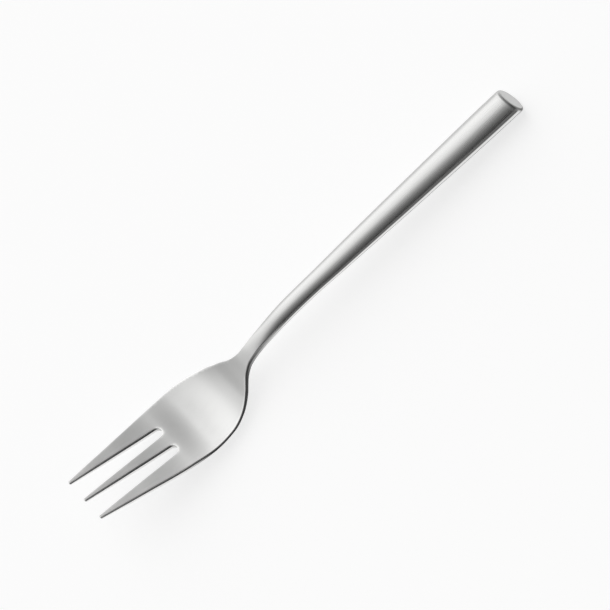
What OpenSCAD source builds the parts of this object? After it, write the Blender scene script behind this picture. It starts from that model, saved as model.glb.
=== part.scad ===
// Pastry fork with a hollow handle. It lies on a table as it would be laid: the belly of the bowl and the
// underside of the butt touch the table at z = 0, the tines point along -X and the handle along +X.

/* [Overall] */
// Length from the tips of the tines to the end of the butt
overall_length = 155; // [140:1:175]
// Fall of the straight part of the handle towards the table, in degrees
handle_fall = 4.3; // [3:0.1:6]

/* [Head] */
// Length from the tips of the tines to the narrowest place of the neck
head_length = 58.5; // [52:0.5:66]
// Greatest width, across the shoulders
head_width = 23.1; // [19:0.2:27]
// Height of the tips above the table, at the middle of their thickness
tip_height = 13.8; // [10:0.2:18]
// Depth of the hollow of the bowl below its rim
bowl_dish = 0.9; // [0.3:0.1:1.4]
// Thickness at the middle of the bowl
bowl_thickness = 2.2; // [1.8:0.1:2.8]
// Thickness of the rim at the shoulders
rim_thickness = 1.1; // [0.9:0.05:1.6]

/* [Tines] */
// Length of the tines, from their tips to the roots of the slots
tine_length = 26.8; // [23:0.2:31]
// Thickness of the tines where they leave the bowl
tine_thickness = 2.0; // [1.6:0.1:2.6]
// Thickness of the tines at their tips
tip_thickness = 1.0; // [0.8:0.1:1.5]
// Distance between the middles of the two slots
slot_spacing = 7.0; // [6:0.1:8]
// Width of a slot at its round root
slot_root_width = 3.0; // [2:0.1:3.4]
// Width of each tine at its tip
tip_width = 0.85; // [0.7:0.05:1.4]
// Radius that blunts the tips of the tines
tip_radius = 0.3; // [0.15:0.05:0.35]

/* [Neck] */
// Width of the neck at its narrowest place
neck_width = 4.3; // [3.6:0.1:5]
// Thickness of the neck at its narrowest place
neck_thickness = 2.6; // [2.2:0.1:3.4]
// Height of the neck above the table, at the middle of its thickness
neck_height = 7.3; // [6:0.1:9]

/* [Handle] */
// Distance from the narrowest place of the neck to the seam where the hollow handle starts
seam_distance = 12; // [9:0.5:18]
// Width of the handle at that seam
seam_width = 5.3; // [4.8:0.1:6.5]
// Width of the handle at the butt
butt_width = 8.8; // [7.6:0.1:11]
// Thickness of the handle at the butt
butt_thickness = 6.8; // [6:0.1:8.4]
// Wall of the stamped half shells
shell_wall = 0.7; // [0.5:0.05:0.8]

/* [Butt] */
// Angle of the oblique butt face away from square, in degrees
butt_cut = 19; // [10:1:26]
// Radius of the rounded rim round the butt face
butt_rim_radius = 0.75; // [0.3:0.05:0.9]
// Thickness of the closing plate
cap_thickness = 1.4; // [1:0.1:2]
// Depth of the plug of the closing plate inside the shells
plug_depth = 3; // [2:0.5:5]

/* [Tang] */
// Length of the tang inside the handle
tang_length = 26; // [18:1:34]
// Width of the tang
tang_width = 2.2; // [1.8:0.1:2.4]
// Thickness of the tang
tang_thickness = 1.2; // [0.9:0.1:1.4]
// Depth of the locating boss inside the shells
boss_depth = 1.6; // [1:0.1:3]
// Depth of the keying notches in the sides of the tang
notch_depth = 0.45; // [0.2:0.05:0.6]
// Length of each keying notch
notch_length = 2.4; // [1.6:0.1:3]
// How far the cement runs past the end of the tang
cement_cover = 3; // [1:0.5:6]

/* [Hidden] */

// Clearance of the boss and the plug inside the shells, and the skin between the cement and what it fills
seat_clearance = 0.06;
// How far a cut runs past the surface that it opens
overrun = 4;
// Radius that breaks the sharp edges of the rim of the head, and the share of a thin rim that it may take
edge_radius = 0.2;
edge_share = 0.4;
// Spacing of the cross sections along the head and along the handle
head_step = 1.25;
handle_step = 3.5;
// Places of the notches along the tang, where its taper starts, and how much of its width is left at the end
notch_shares = [0.3, 0.52, 0.74];
taper_share = 0.8;
tang_end_share = 0.6;

// Steps across the flat of a cross section, and the share of the round section that each flat takes
flat_steps = 12;
flat_arc = 56;
corner_arc = 23;
side_arc = 11;
// Steps round the rim of the butt face, along its rounded edge, and round the blunted tips
rim_steps = 72;
round_steps = 5;
tip_steps = 2;
mouth_turn = 66;

// The handle as it runs to the butt, whose rounded rim reaches the table and the full length of the fork
neck_x = head_length;
seam_x = neck_x + seam_distance;
crest_x = neck_x + seam_distance * 1.25;
straight_x = neck_x + seam_distance * 2.8;
fall_rate = tan(handle_fall);
face_tall = butt_thickness / 2 / (cos(butt_cut) - sin(butt_cut) * fall_rate);
butt_x = overall_length - max([for (p = rim_points()) p[0] * cos(butt_cut) - p[2] * sin(butt_cut)]);
butt_height = -min([for (p = rim_points()) p[0] * sin(butt_cut) + p[2] * cos(butt_cut)]);
function handle_line(x) = butt_height + (butt_x - x) * fall_rate;
crest_height = handle_line(crest_x) - (straight_x - crest_x) * fall_rate * 0.2;
land_x = butt_x - butt_thickness / 2 * tan(butt_cut) - cap_thickness;
swell_x = (crest_x + straight_x) / 2;
middle_x = (straight_x + land_x) / 2;
thickness_share = butt_thickness / butt_width;
straight_width = seam_width + (butt_width - seam_width) * 0.27;
swell_width = seam_width + (straight_width - seam_width) * 0.36;
middle_width = (straight_width + butt_width) * 0.52;
slot_mouth_width = slot_spacing - tip_width;
tips_width = (slot_spacing + tip_width / 2) * 2;
root_width = head_width * 0.944;

// Middle of the thickness along the fork, as [x, height above the table], for a given height at the belly
belly_x = head_length * 0.735;
function spine_over(belly) = [
    [0, tip_height],
    [tine_length * 0.5, belly + (tip_height - belly) * 0.585],
    [tine_length * 0.98, belly + (tip_height - belly) * 0.225],
    [head_length * 0.59, belly + (tip_height - belly) * 0.08],
    [belly_x, belly],
    [head_length * 0.82, belly + (neck_height - belly) * 0.13],
    [head_length * 0.885, belly + (neck_height - belly) * 0.42],
    [head_length * 0.945, belly + (neck_height - belly) * 0.76],
    [neck_x, neck_height],
    [neck_x + seam_distance * 0.45, neck_height + (crest_height - neck_height) * 0.56],
    [crest_x, crest_height],
    [straight_x, handle_line(straight_x)],
    [middle_x, handle_line(middle_x)],
    [butt_x, handle_line(butt_x)],
    [overall_length + overrun, handle_line(overall_length + overrun)]
];

// Half the width along the fork, as [x, half width]
half_widths = [
    [0, tips_width / 2],
    [tine_length * 0.5, (tips_width + root_width) / 4],
    [tine_length, root_width / 2],
    [head_length * 0.595, head_width * 0.5],
    [head_length * 0.69, head_width * 0.473],
    [head_length * 0.78, head_width * 0.392],
    [head_length * 0.855, head_width * 0.266],
    [head_length * 0.92, neck_width / 2 + (head_width - neck_width) * 0.05],
    [head_length * 0.965, neck_width / 2 + (head_width - neck_width) * 0.005],
    [neck_x + seam_distance * 0.1, neck_width / 2],
    [seam_x, seam_width / 2],
    [swell_x, swell_width / 2],
    [straight_x, straight_width / 2],
    [middle_x, middle_width / 2],
    [land_x, butt_width / 2],
    [overall_length + overrun, butt_width / 2]
];

// Thickness at the rim of the head and, past the neck, of the handle, as [x, thickness]
thicknesses = [
    [0, tip_thickness],
    [tine_length * 0.3, (tip_thickness + tine_thickness * 2) / 3],
    [tine_length * 0.75, tine_thickness],
    [tine_length, tine_thickness * 0.92],
    [head_length * 0.59, rim_thickness * 1.1],
    [head_length * 0.66, rim_thickness],
    [head_length * 0.76, rim_thickness * 1.2],
    [head_length * 0.88, (rim_thickness + neck_thickness * 3) / 4],
    [neck_x, neck_thickness],
    [seam_x, seam_width * thickness_share],
    [swell_x, swell_width * thickness_share],
    [straight_x, straight_width * thickness_share],
    [middle_x, middle_width * thickness_share],
    [land_x, butt_thickness],
    [overall_length + overrun, butt_thickness]
];

// Share of the full hollow of the bowl along the head, as [x, share]
dish_shares = [
    [0, 0],
    [tine_length * 0.6, 0.2],
    [tine_length, 0.4],
    [head_length * 0.6, 0.9],
    [belly_x, 1],
    [head_length * 0.8, 0.85],
    [head_length * 0.9, 0.15],
    [head_length * 0.94, 0],
    [overall_length + overrun, 0]
];

// The lowest place of the belly is brought down to the table
function underside(line, x) = through(line, x) - thick(x) / 2
    - (bowl_dish + max(0, bowl_thickness - thick(x))) * through(dish_shares, x);
level_belly = bowl_dish + bowl_thickness;
bowl_places = evenly(tine_length, head_length * 0.9, head_step);
belly_clear = min([for (x = bowl_places) underside(spine_over(level_belly), x)]);
spine = spine_over(level_belly - belly_clear);

// A smooth curve through a list of [x, value] stations, level at each station that is a peak or a hollow
function station(list, x, i = 0) = (i >= len(list) - 2 || x < list[i + 1][0]) ? i : station(list, x, i + 1);
function gap(list, i) = list[i + 1][0] - list[i][0];
function chord(list, i) = (list[i + 1][1] - list[i][1]) / gap(list, i);
function slope(list, i) =
    i == 0 ? chord(list, 0)
    : i == len(list) - 1 ? chord(list, i - 1)
    : chord(list, i - 1) * chord(list, i) <= 0 ? 0
    : let (before = 2 * gap(list, i) + gap(list, i - 1), after = gap(list, i) + 2 * gap(list, i - 1))
        (before + after) / (before / chord(list, i - 1) + after / chord(list, i));
function through(list, x) =
    let (i = station(list, x), h = gap(list, i), t = (x - list[i][0]) / h)
    (2 * t ^ 3 - 3 * t ^ 2 + 1) * list[i][1] + (t ^ 3 - 2 * t ^ 2 + t) * h * slope(list, i)
    + (3 * t ^ 2 - 2 * t ^ 3) * list[i + 1][1] + (t ^ 3 - t ^ 2) * h * slope(list, i + 1);
function eased(t) = let (c = max(0, min(1, t))) c * c * (3 - 2 * c);
function evenly(from, to, step) =
    let (n = ceil((to - from) / step))
    [for (i = [0:n]) from + (to - from) * i / n];

// Half the width and the thickness at a place along the fork, with the tips blunted
function blunt(x) = x < tip_radius ? 1 - sqrt(1 - (1 - x / tip_radius) ^ 2) : 0;
function half(x) = through(half_widths, x) - tip_radius * blunt(x);
function thick(x) = through(thicknesses, x) * (1 - blunt(x) / 2);
function edge(x) = min(edge_radius, thick(x) * edge_share);

// The part of the fork where the flat section of the head turns into the oval section of the handle
function roundness(x) = eased((x - head_length * 0.9) / (seam_x - head_length * 0.9));

// The flat section of the head: a rounded bar whose top is hollowed and whose belly bulges
function flat_point(x, share, side) =
    let (
        hollow = through(dish_shares, x),
        bulge = max(0, bowl_thickness - thick(x)) * hollow,
        inner = 1 - share * share
    )
    [share * (half(x) - edge(x)), side > 0
        ? thick(x) / 2 - bowl_dish * hollow * inner
        : -thick(x) / 2 - (bowl_dish * hollow + bulge) * inner];
function bar_corner(x, across, up, turn) =
    [across * (half(x) - edge(x) + edge(x) * sin(turn)),
     up * (thick(x) / 2 - edge(x) + edge(x) * cos(turn))];
function oval_point(x, angle) = [half(x) * cos(angle), thick(x) / 2 * sin(angle)];

// The same number of points runs round every section, anticlockwise seen from the butt, from the middle of
// the right side over the top to the left side and back along the belly
function mix(x, bar, oval) = bar * (1 - roundness(x)) + oval * roundness(x);
function section_side(x, across, up) =
    let (side = across > 0 ? 0 : 180, way = across * up)
    [mix(x, bar_corner(x, across, up, 90), oval_point(x, side + way * side_arc)),
     mix(x, bar_corner(x, across, up, 45), oval_point(x, side + way * corner_arc))];
function section_flat(x, up) =
    [for (i = [0:flat_steps]) let (share = up * (1 - 2 * i / flat_steps))
        mix(x, flat_point(x, share, up), oval_point(x, up * (90 - share * flat_arc)))];
function section(x) =
    let (right_top = section_side(x, 1, 1), left_top = section_side(x, -1, 1),
        left_low = section_side(x, -1, -1), right_low = section_side(x, 1, -1))
    concat([[half(x), 0]], right_top, section_flat(x, 1), [left_top[1], left_top[0]],
        [[-half(x), 0]], left_low, section_flat(x, -1), [right_low[1], right_low[0]]);
half_ring = flat_steps + 6;
ring_size = half_ring * 2;

// The oval inside of the shells, or any oval that stays a set distance inside the handle
function oval_angles() = [for (i = [0:ring_size - 1])
    let (k = i % half_ring, turn = i < half_ring ? 0 : 180)
    turn + (k == 0 ? 0 : k == 1 ? side_arc : k == 2 ? corner_arc
        : k == half_ring - 1 ? 180 - side_arc : k == half_ring - 2 ? 180 - corner_arc
        : 90 - flat_arc + 2 * flat_arc * (k - 3) / flat_steps)];
angles = oval_angles();
function oval(x, inset) = [for (a = angles)
    [(half(x) - inset) * cos(a), (thick(x) / 2 - inset) * sin(a)]];

// Stands a section up at its place along the fork
function placed(x, ring) = [for (p = ring) [x, p[0], through(spine, x) + p[1]]];

// A solid through rings of points that all run the same way. The ends of a channel, whose rings run out along
// its outside and back along its inside, are closed by strips from the one side to the other.
module loft(rings, channel = false) {
    n = len(rings[0]);
    last = (len(rings) - 1) * n;
    sides = [for (i = [0:len(rings) - 2], j = [0:n - 1]) let (k = (j + 1) % n)
        [i * n + j, (i + 1) * n + j, (i + 1) * n + k, i * n + k]];
    ends = channel
        ? [for (j = [0:n / 2 - 2]) each [
            [j, j + 1, n - 2 - j, n - 1 - j],
            [last + n - 1 - j, last + n - 2 - j, last + j + 1, last + j]]]
        : [[for (j = [0:n - 1]) j], [for (j = [n - 1:-1:0]) last + j]];
    polyhedron([for (r = rings) each r], concat(sides, ends), convexity = 10);
}

// The frame of the butt: its origin is the middle of the oblique face and +X runs out of it
module at_butt_face() {
    translate([butt_x, 0, handle_line(butt_x)]) rotate([0, -butt_cut, 0]) children();
}

// What lies outside a plane parallel to the butt face, a set depth below it, and what lies inside it
module behind_face(depth) {
    at_butt_face() translate([-depth, -butt_width, -butt_thickness * 2])
        cube([depth + overrun * 4, butt_width * 2, butt_thickness * 4]);
}
module before_face(depth) {
    at_butt_face() translate([-depth - butt_thickness * 4, -butt_width, -butt_thickness * 4])
        cube([butt_thickness * 4, butt_width * 2, butt_thickness * 8]);
}

// The origin lies on the table, under the middle of the fork
module centred() {
    translate([-overall_length / 2, 0, 0]) children();
}

// A slot between two tines, seen from above: a round root, straight walls that open towards the tips, and
// a mouth that rounds off into the ends of the tines
module slot_outline() {
    root_radius = slot_root_width / 2;
    root_x = tine_length - root_radius;
    flare = atan((slot_mouth_width - slot_root_width) / 2 / root_x);
    wall_x = root_x + root_radius * sin(flare);
    wall_y = root_radius * cos(flare);
    tip_y = wall_y + (wall_x - tip_radius) * tan(flare);
    corner_end = [tip_radius * (1 - sin(mouth_turn)), tip_y + tip_radius * (1 - cos(mouth_turn))];
    wall = concat([[wall_x, wall_y]],
        [for (k = [0:tip_steps - 1]) let (a = mouth_turn * k / tip_steps)
            [tip_radius * (1 - sin(a)), tip_y + tip_radius * (1 - cos(a))]],
        [corner_end, corner_end + [-tip_radius, tip_radius * tan(mouth_turn)]]);
    translate([root_x, 0]) circle(r = root_radius, $fn = 48);
    polygon(concat(wall, [for (i = [len(wall) - 1:-1:0]) [wall[i][0], -wall[i][1]]]));
}

// The tang, seen from above: a tapered bar with keying notches along both sides
module tang_outline(grow = 0) {
    side_y = tang_width / 2 + grow;
    end_y = tang_width * tang_end_share / 2 + grow;
    difference() {
        polygon([
            [-overrun, -side_y],
            [tang_length * taper_share, -side_y],
            [tang_length + grow, -end_y],
            [tang_length + grow, end_y],
            [tang_length * taper_share, side_y],
            [-overrun, side_y]
        ]);
        for (side = [-1, 1], share = notch_shares)
            translate([tang_length * share, side * side_y])
                polygon([
                    [grow - notch_length / 2, side * grow],
                    [notch_length / 2 - grow, side * grow],
                    [notch_length / 4 - grow, -side * notch_depth],
                    [grow - notch_length / 4, -side * notch_depth]
                ]);
    }
}

// The tang, seen from the side: a bar that follows the curve of the handle
module tang_side(grow = 0) {
    line = [for (x = evenly(seam_x - overrun, seam_x + tang_length + overrun, handle_step))
        [x, through(spine, x)]];
    rise = tang_thickness / 2 + grow;
    polygon(concat(
        [for (p = line) [p[0], p[1] - rise]],
        [for (i = [len(line) - 1:-1:0]) [line[i][0], line[i][1] + rise]]
    ));
}

module tang(grow = 0) {
    intersection() {
        translate([seam_x, 0, 0]) linear_extrude(crest_height * 2) tang_outline(grow);
        translate([0, tang_width, 0]) rotate([90, 0, 0]) linear_extrude(tang_width * 2) tang_side(grow);
    }
}

module fork_head() {
    tip_places = [for (k = [0:tip_steps - 1]) tip_radius * (1 - cos(90 * k / tip_steps))];
    color("silver") centred() union() {
        difference() {
            loft([for (x = concat(tip_places, evenly(tip_radius, seam_x, head_step))) placed(x, section(x))]);
            for (side = [-1, 1])
                translate([0, side * slot_spacing / 2, -overrun])
                    linear_extrude(tip_height + overrun * 2) slot_outline();
        }
        loft([for (x = [seam_x - boss_depth, seam_x, seam_x + boss_depth])
            placed(x, oval(x, shell_wall + seat_clearance))]);
        tang();
    }
}

// One half of the handle: from the seam with the head to the closing plate, above or below the side seams
module half_shell(lower) {
    first = lower ? half_ring : 0;
    function arc(x, inset) =
        let (ring = placed(x, oval(x, inset)))
        [for (i = [0:half_ring]) ring[(first + i) % ring_size]];
    function reversed(list) = [for (i = [len(list) - 1:-1:0]) list[i]];
    difference() {
        loft([for (x = evenly(seam_x, overall_length + overrun / 2, handle_step))
            concat(arc(x, 0), reversed(arc(x, shell_wall)))], channel = true);
        behind_face(cap_thickness);
    }
}

module handle_upper_shell() {
    color("silver") centred() half_shell(false);
}

module handle_lower_shell() {
    color("gainsboro") centred() half_shell(true);
}

// What fills the inside of the handle between two places, clear of the shells
module filling(from, to) {
    loft([for (x = evenly(from, to, handle_step)) placed(x, oval(x, shell_wall + seat_clearance))]);
}

// The set cement round the tang, from the boss to just past the end of the tang
module cement_core() {
    color("tan") centred() difference() {
        filling(seam_x + boss_depth + seat_clearance, seam_x + tang_length + cement_cover);
        tang(seat_clearance);
    }
}

// The oval outline of the butt face, and of the cuts parallel to it, a set depth below the face and a set
// distance inside the outline. It slides along with the handle, because the face is not square to it.
function face_ring(depth, inset) = [for (i = [0:rim_steps - 1]) let (a = 360 * i / rim_steps)
    [-depth, (butt_width / 2 - inset) * cos(a),
     (face_tall - inset) * sin(a) + depth * tan(butt_cut + handle_fall)]];
function round_ring(turn, outside = 0) =
    face_ring(butt_rim_radius * (1 - cos(turn)), butt_rim_radius * (1 - sin(turn)) - outside);
function rim_points() = [for (k = [0:round_steps]) each round_ring(90 * k / round_steps)];

// A straight oval bar along the end of the handle
module handle_bar() {
    across = butt_width / 2;
    up = butt_thickness / 2 * cos(handle_fall);
    translate([butt_x, 0, handle_line(butt_x)]) rotate([0, handle_fall, 0])
        translate([-butt_thickness, 0, 0]) rotate([0, 90, 0]) linear_extrude(butt_thickness * 2)
            polygon([for (i = [0:rim_steps - 1])
                let (a = 360 * i / rim_steps)
                [up * sin(a), across * cos(a)]]);
}

// The closing plate with its rounded rim, and the plug behind it
module end_cap() {
    color("whitesmoke") centred() union() {
        difference() {
            intersection() {
                handle_bar();
                at_butt_face() loft([
                    face_ring(cap_thickness + overrun, -overrun / 4),
                    for (k = [round_steps:-1:0]) round_ring(90 * k / round_steps, seat_clearance / 4),
                    face_ring(-overrun, butt_rim_radius - seat_clearance / 4)
                ]);
            }
            behind_face(0);
            before_face(cap_thickness);
        }
        difference() {
            filling(land_x - plug_depth, overall_length);
            behind_face(cap_thickness / 2);
        }
    }
}

fork_head();
handle_upper_shell();
handle_lower_shell();
end_cap();
cement_core();
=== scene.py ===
"""Pastry fork in satin stainless steel, dressed for a studio picture.

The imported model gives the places. The head, the two half shells of the handle and the butt plate are built
again here from the same sizes, smooth and with soft edges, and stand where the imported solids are.
"""
from math import atan, ceil, cos, exp, hypot, pi, radians, sin, sqrt, tan

import bmesh
import bpy
from bpy.props import FloatProperty, FloatVectorProperty, IntProperty, PointerProperty
from mathutils import Matrix, Vector, geometry


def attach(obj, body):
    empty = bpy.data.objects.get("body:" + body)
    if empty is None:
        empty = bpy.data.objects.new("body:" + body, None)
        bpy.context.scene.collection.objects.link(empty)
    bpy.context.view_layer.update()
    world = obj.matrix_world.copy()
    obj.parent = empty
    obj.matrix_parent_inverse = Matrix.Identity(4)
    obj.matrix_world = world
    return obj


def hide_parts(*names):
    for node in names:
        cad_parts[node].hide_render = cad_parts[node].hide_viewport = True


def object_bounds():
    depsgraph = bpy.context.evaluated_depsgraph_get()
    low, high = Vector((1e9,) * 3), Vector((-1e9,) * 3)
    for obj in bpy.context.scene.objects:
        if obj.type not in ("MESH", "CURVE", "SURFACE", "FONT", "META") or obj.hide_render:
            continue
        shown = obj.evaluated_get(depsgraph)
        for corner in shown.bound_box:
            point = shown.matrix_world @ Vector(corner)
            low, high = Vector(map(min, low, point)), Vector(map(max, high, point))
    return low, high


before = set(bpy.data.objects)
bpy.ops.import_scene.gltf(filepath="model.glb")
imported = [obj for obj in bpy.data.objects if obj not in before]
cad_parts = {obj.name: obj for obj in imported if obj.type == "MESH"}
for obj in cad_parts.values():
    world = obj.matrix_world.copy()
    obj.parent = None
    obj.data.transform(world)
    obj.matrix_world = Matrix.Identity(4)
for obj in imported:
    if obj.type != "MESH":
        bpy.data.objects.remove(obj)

bl_info = {
    "name": "Pastry Fork",
    "version": (1, 0, 0),
    "blender": (4, 5, 0),
    "location": "3D View > Sidebar > Fork",
    "description": "Makes a three-tined pastry fork with a hollow oval handle",
    "category": "Object",
}

MM = 0.001
LOW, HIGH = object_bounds()

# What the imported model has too. Lengths are in millimetres.
OVERRUN = 4  # how far its curves run past the butt
EDGE_SHARE = 0.4  # how much of a thin rim its soft edge may take
SEAT_CLEARANCE = 0.06  # between the shells and what sits in them
BOSS_DEPTH = 1.6
NOTCH_SHARES = (0.3, 0.52, 0.74)  # places of the notches along the tang
NOTCH_LENGTH, NOTCH_DEPTH = 2.4, 0.45
TAPER_SHARE, END_SHARE = 0.8, 0.6  # where the tang's taper starts, and how much width it leaves at the end
CAD_ROUND_STEPS, CAD_RIM_STEPS, CAD_HEAD_STEP = 5, 72, 1.25

# How finely the meshes here are made
ROUND = 5  # steps round a soft edge
ACROSS = 42  # steps across the neck
TIP_STEPS = 6  # round each corner of a blunt tip
ROOT_STEPS = 24  # round the root of a slot
ROW_SHARE, CLEAR_SHARE = 0.87, 0.45  # of the grid step: from row to row, and from the edge to a row's end
NECK_STEP = 0.45  # millimetres between the sections of the neck
BOSS_STEPS = 48  # round the boss
TANG_STEPS = 20  # along the tang
STATIONS, SHELL_STEPS = 190, 72  # along and round a half shell
PLATE_STEPS, PLATE_RIM_STEPS = 144, 8  # round the butt plate, and over its rounded rim
NUDGE = 0.01  # millimetres to each side, for the slope of a curve
MERGE_WITHIN = 1e-7  # metres between points that become one


def linear(hex_colour):
    """The linear RGBA of an sRGB hex colour such as 'C8C8C6'."""
    parts = [int(hex_colour[i:i + 2], 16) / 255 for i in (0, 2, 4)]
    return [p / 12.92 if p <= 0.04045 else ((p + 0.055) / 1.055) ** 2.4 for p in parts] + [1.0]


def size(name, about, value):
    """A length in metres, shown in the panel, from its value in millimetres."""
    return FloatProperty(name=name, description=about, default=value * MM, unit="LENGTH", precision=5)


def share(name, about, value):
    return FloatProperty(name=name, description=about, default=value, min=0.0, max=1.0, subtype="FACTOR")


def angle(name, about, degrees):
    return FloatProperty(name=name, description=about, default=radians(degrees), subtype="ANGLE")


def colour(name, about, hex_colour):
    return FloatVectorProperty(name=name, description=about, default=linear(hex_colour), size=4,
                               min=0.0, max=1.0, subtype="COLOR")


class ForkSizes(bpy.types.PropertyGroup):
    """Sizes of the fork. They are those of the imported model."""
    overall_length: size("Overall length", "From the tips to the butt", 155)
    head_length: size("Head length", "From the tips to the narrowest place of the neck", 58.5)
    head_width: size("Head width", "Across the shoulders", 23.1)
    tip_height: size("Tip height", "Height of the tips above the table", 13.8)
    bowl_dish: size("Bowl dish", "Depth of the hollow of the bowl", 0.9)
    bowl_thickness: size("Bowl thickness", "Thickness at the middle of the bowl", 2.2)
    rim_thickness: size("Rim thickness", "Thickness of the rim at the shoulders", 1.1)
    tine_length: size("Tine length", "From the tips to the roots of the slots", 26.8)
    tine_thickness: size("Tine thickness", "Where the tines leave the bowl", 2.0)
    tip_thickness: size("Tip thickness", "Thickness of the tines at their tips", 1.0)
    slot_spacing: size("Slot spacing", "Between the middles of the two slots", 7.0)
    slot_root_width: size("Slot root width", "Width of a slot at its round root", 3.0)
    tip_width: size("Tip width", "Width of a tine at its tip", 0.85)
    tip_radius: size("Tip radius", "Radius that blunts the tips", 0.3)
    neck_width: size("Neck width", "At its narrowest place", 4.3)
    neck_thickness: size("Neck thickness", "At its narrowest place", 2.6)
    neck_height: size("Neck height", "Middle of the neck above the table", 7.3)
    seam_distance: size("Seam distance", "From the neck to the seam of the hollow handle", 12.0)
    seam_width: size("Seam width", "Width of the handle at that seam", 5.3)
    butt_width: size("Butt width", "Width of the handle at the butt", 8.8)
    butt_thickness: size("Butt thickness", "Thickness of the handle at the butt", 6.8)
    shell_wall: size("Shell wall", "Wall of the half shells", 0.7)
    butt_rim_radius: size("Butt rim radius", "Rounded rim round the butt face", 0.75)
    cap_thickness: size("Plate thickness", "Thickness of the closing plate", 1.4)
    plug_depth: size("Plug depth", "Depth of the plug inside the shells", 3.0)
    tang_length: size("Tang length", "Length of the tang inside the handle", 26.0)
    tang_width: size("Tang width", "Width of the tang", 2.2)
    tang_thickness: size("Tang thickness", "Thickness of the tang", 1.2)
    handle_fall: angle("Handle fall", "Fall of the straight part of the handle", 4.3)
    butt_cut: angle("Butt cut", "Angle of the butt face away from square", 19.0)
    edge_radius: size("Edge radius", "Soft edge round the tines, slots and rim", 0.26)
    grid_step: size("Grid step", "Spacing of the surface points of the head", 0.55)


class ForkFinish(bpy.types.PropertyGroup):
    """Colours and roughness of the finishes."""
    head_colour: colour("Head steel", "Forged satin steel of the head", "CECECD")
    shell_colour: colour("Handle steel", "Satin steel of the half shells", "C6C6C5")
    plate_colour: colour("Butt steel", "Brushed steel of the butt plate", "CECECD")
    cement_colour: colour("Cement", "Filling cement inside the handle", "A39B8B")
    head_roughness: share("Head roughness", "Roughness of the satin head", 0.32)
    shell_roughness: share("Handle roughness", "Roughness of the satin handle", 0.25)
    plate_roughness: share("Butt roughness", "Roughness of the brushed butt", 0.36)


class ForkStage(bpy.types.PropertyGroup):
    """The camera, the lamp and the floor."""
    azimuth: angle("Azimuth", "Side that the camera looks from, from -Y towards +X", 4.1363)
    elevation: angle("Elevation", "Height of the camera", 59.7785)
    roll: angle("Roll", "Turn of the fork in the picture", 45.1785)
    distance: FloatProperty(name="Distance", description="From the camera to the fork", default=1.6667,
                            unit="LENGTH")
    pixels_per_mm: FloatProperty(name="Scale", description="Pixels of the picture for each millimetre",
                                 default=3.7903)
    middle: FloatVectorProperty(name="Middle", description="Where the fork's origin lies in the picture",
                                default=(304.6648, 303.052), size=2)
    picture: IntProperty(name="Picture", description="Side of the square picture", default=610,
                         subtype="PIXEL")
    lamp_power: FloatProperty(name="Lamp", description="Strength of the softbox past the far side",
                              default=0.2, unit="POWER")
    floor_colour: colour("Floor", "Pale floor", "B0B0B0")


def eased(t):
    """Runs from 0 to 1 with a level start and end, as t does."""
    t = max(0, min(1, t))
    return t * t * (3 - 2 * t)


def evenly(start, end, step):
    """Places from start to end, no more than a step apart."""
    count = ceil(abs(end - start) / step)
    return [start + (end - start) * i / count for i in range(count + 1)]


def turns(count):
    """Angles all the way round."""
    return [2 * pi * i / count for i in range(count)]


def quarter(steps):
    """Angles from 0 to a quarter turn."""
    return [pi / 2 * i / steps for i in range(steps + 1)]


def slopes(stations):
    """The slope at each station of a smooth curve, level at each peak and hollow."""
    chords = [(b[1] - a[1]) / (b[0] - a[0]) for a, b in zip(stations, stations[1:])]
    gaps = [b[0] - a[0] for a, b in zip(stations, stations[1:])]
    out = [chords[0]]
    for i in range(1, len(stations) - 1):
        if chords[i - 1] * chords[i] <= 0:
            out.append(0.0)
            continue
        before, after = 2 * gaps[i] + gaps[i - 1], gaps[i] + 2 * gaps[i - 1]
        out.append((before + after) / (before / chords[i - 1] + after / chords[i]))
    return out + [chords[-1]]


class Curve:
    """A smooth curve through [x, value] stations."""

    def __init__(self, stations):
        self.stations = stations
        self.slopes = slopes(stations)

    def __call__(self, x):
        s = self.stations
        i = 0
        while i < len(s) - 2 and x >= s[i + 1][0]:
            i += 1
        h = s[i + 1][0] - s[i][0]
        t = (x - s[i][0]) / h
        return ((2 * t ** 3 - 3 * t ** 2 + 1) * s[i][1] + (t ** 3 - 2 * t ** 2 + t) * h * self.slopes[i]
                + (3 * t ** 2 - 2 * t ** 3) * s[i + 1][1] + (t ** 3 - t ** 2) * h * self.slopes[i + 1])

    def slope(self, x):
        return (self(x + NUDGE) - self(x - NUDGE)) / (2 * NUDGE)


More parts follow.
